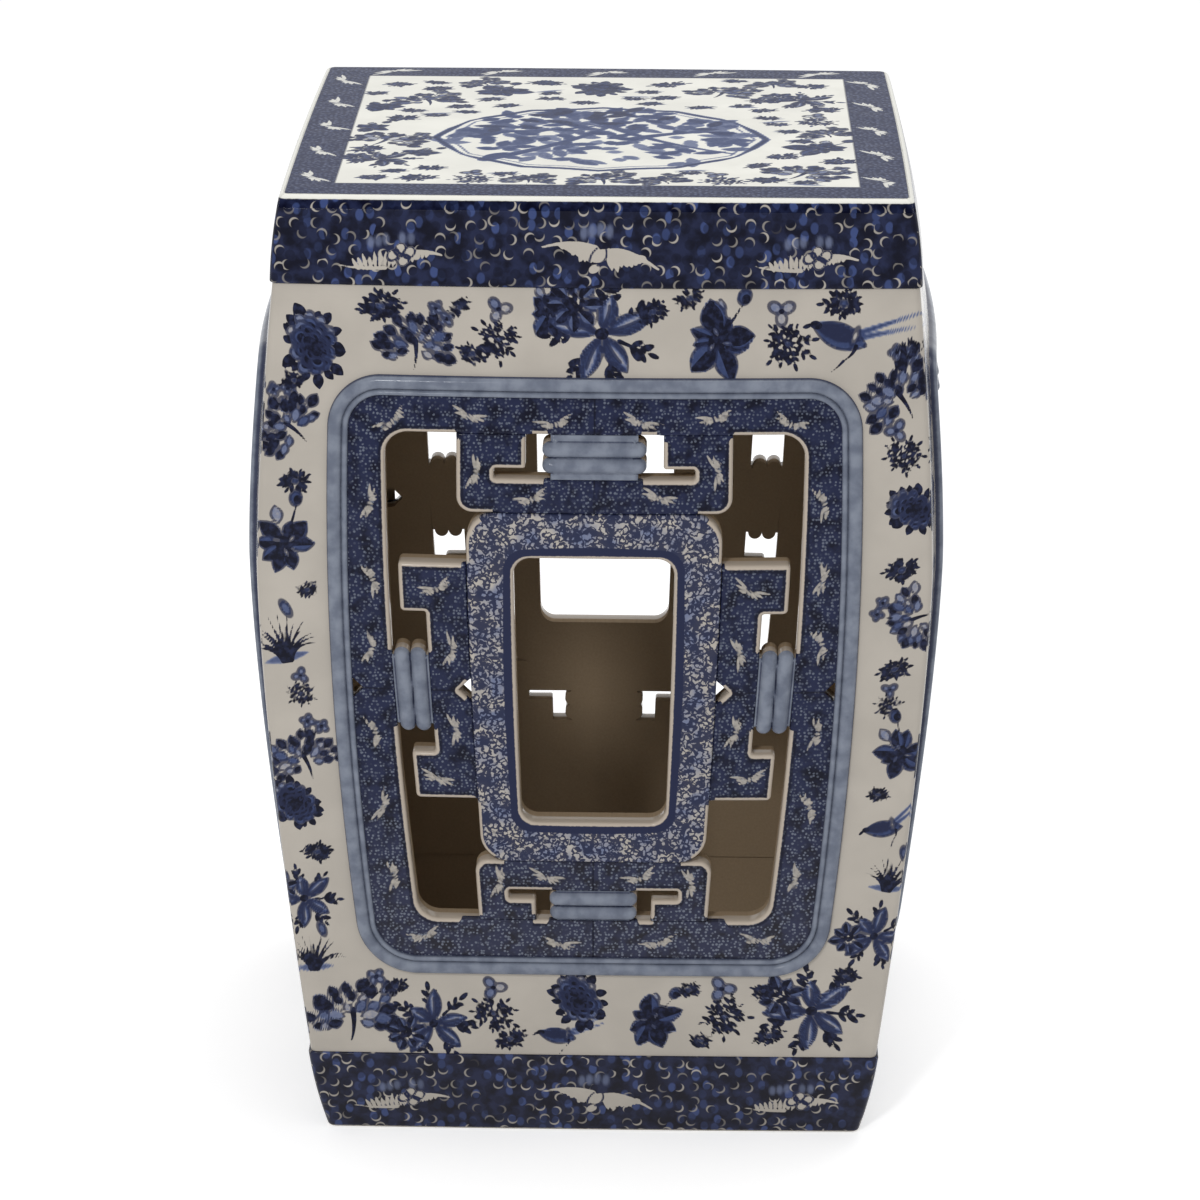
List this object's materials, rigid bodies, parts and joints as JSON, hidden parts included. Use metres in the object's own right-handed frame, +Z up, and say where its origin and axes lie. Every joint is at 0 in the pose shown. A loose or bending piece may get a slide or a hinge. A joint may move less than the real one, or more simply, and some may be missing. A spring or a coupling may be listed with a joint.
{
  "type": "garden stool",
  "caption": "Square pillow-sided porcelain garden stool with a flat seat, painted blue bands and openwork side panels, hollow and open at the foot.",
  "frame": {"origin": "centre of the foot, on the ground", "axes": "+Z up, -Y towards the front side, +X to the right when facing the front"},
  "size_m": [0.333, 0.333, 0.47],
  "materials": {
    "seat_glaze": "clear gloss glaze over underglaze blue painting",
    "curl_band_glaze": "clear gloss glaze over a dark blue ground with reserved curls",
    "spray_body_glaze": "clear gloss glaze over cream clay with blue flower sprays",
    "pale_blue_glaze": "clear gloss glaze over a pale blue wash",
    "speckled_glaze": "clear gloss glaze over a dark blue speckled ground",
    "scrolled_ring_glaze": "clear gloss glaze over fine blue scrolls on cream"
  },
  "bodies": {
    "root": {"top_slab": "seat_glaze", "front_upper_band": "curl_band_glaze", "front_base_band": "curl_band_glaze", "front_wall": "spray_body_glaze", "front_moulding": "pale_blue_glaze", "front_ties": "pale_blue_glaze", "front_lattice_frame": "speckled_glaze", "front_bracket_top": "speckled_glaze", "front_bracket_bottom": "speckled_glaze", "front_bracket_left": "speckled_glaze", "front_bracket_right": "speckled_glaze", "front_ring": "scrolled_ring_glaze", "right_upper_band": "curl_band_glaze", "right_base_band": "curl_band_glaze", "right_wall": "spray_body_glaze", "right_moulding": "pale_blue_glaze", "right_ties": "pale_blue_glaze", "right_lattice_frame": "speckled_glaze", "right_bracket_top": "speckled_glaze", "right_bracket_bottom": "speckled_glaze", "right_bracket_left": "speckled_glaze", "right_bracket_right": "speckled_glaze", "right_ring": "scrolled_ring_glaze", "back_upper_band": "curl_band_glaze", "back_base_band": "curl_band_glaze", "back_wall": "spray_body_glaze", "back_moulding": "pale_blue_glaze", "back_ties": "pale_blue_glaze", "back_lattice_frame": "speckled_glaze", "back_bracket_top": "speckled_glaze", "back_bracket_bottom": "speckled_glaze", "back_bracket_left": "speckled_glaze", "back_bracket_right": "speckled_glaze", "back_ring": "scrolled_ring_glaze", "left_upper_band": "curl_band_glaze", "left_base_band": "curl_band_glaze", "left_wall": "spray_body_glaze", "left_moulding": "pale_blue_glaze", "left_ties": "pale_blue_glaze", "left_lattice_frame": "speckled_glaze", "left_bracket_top": "speckled_glaze", "left_bracket_bottom": "speckled_glaze", "left_bracket_left": "speckled_glaze", "left_bracket_right": "speckled_glaze", "left_ring": "scrolled_ring_glaze"}
  },
  "joints": []
}
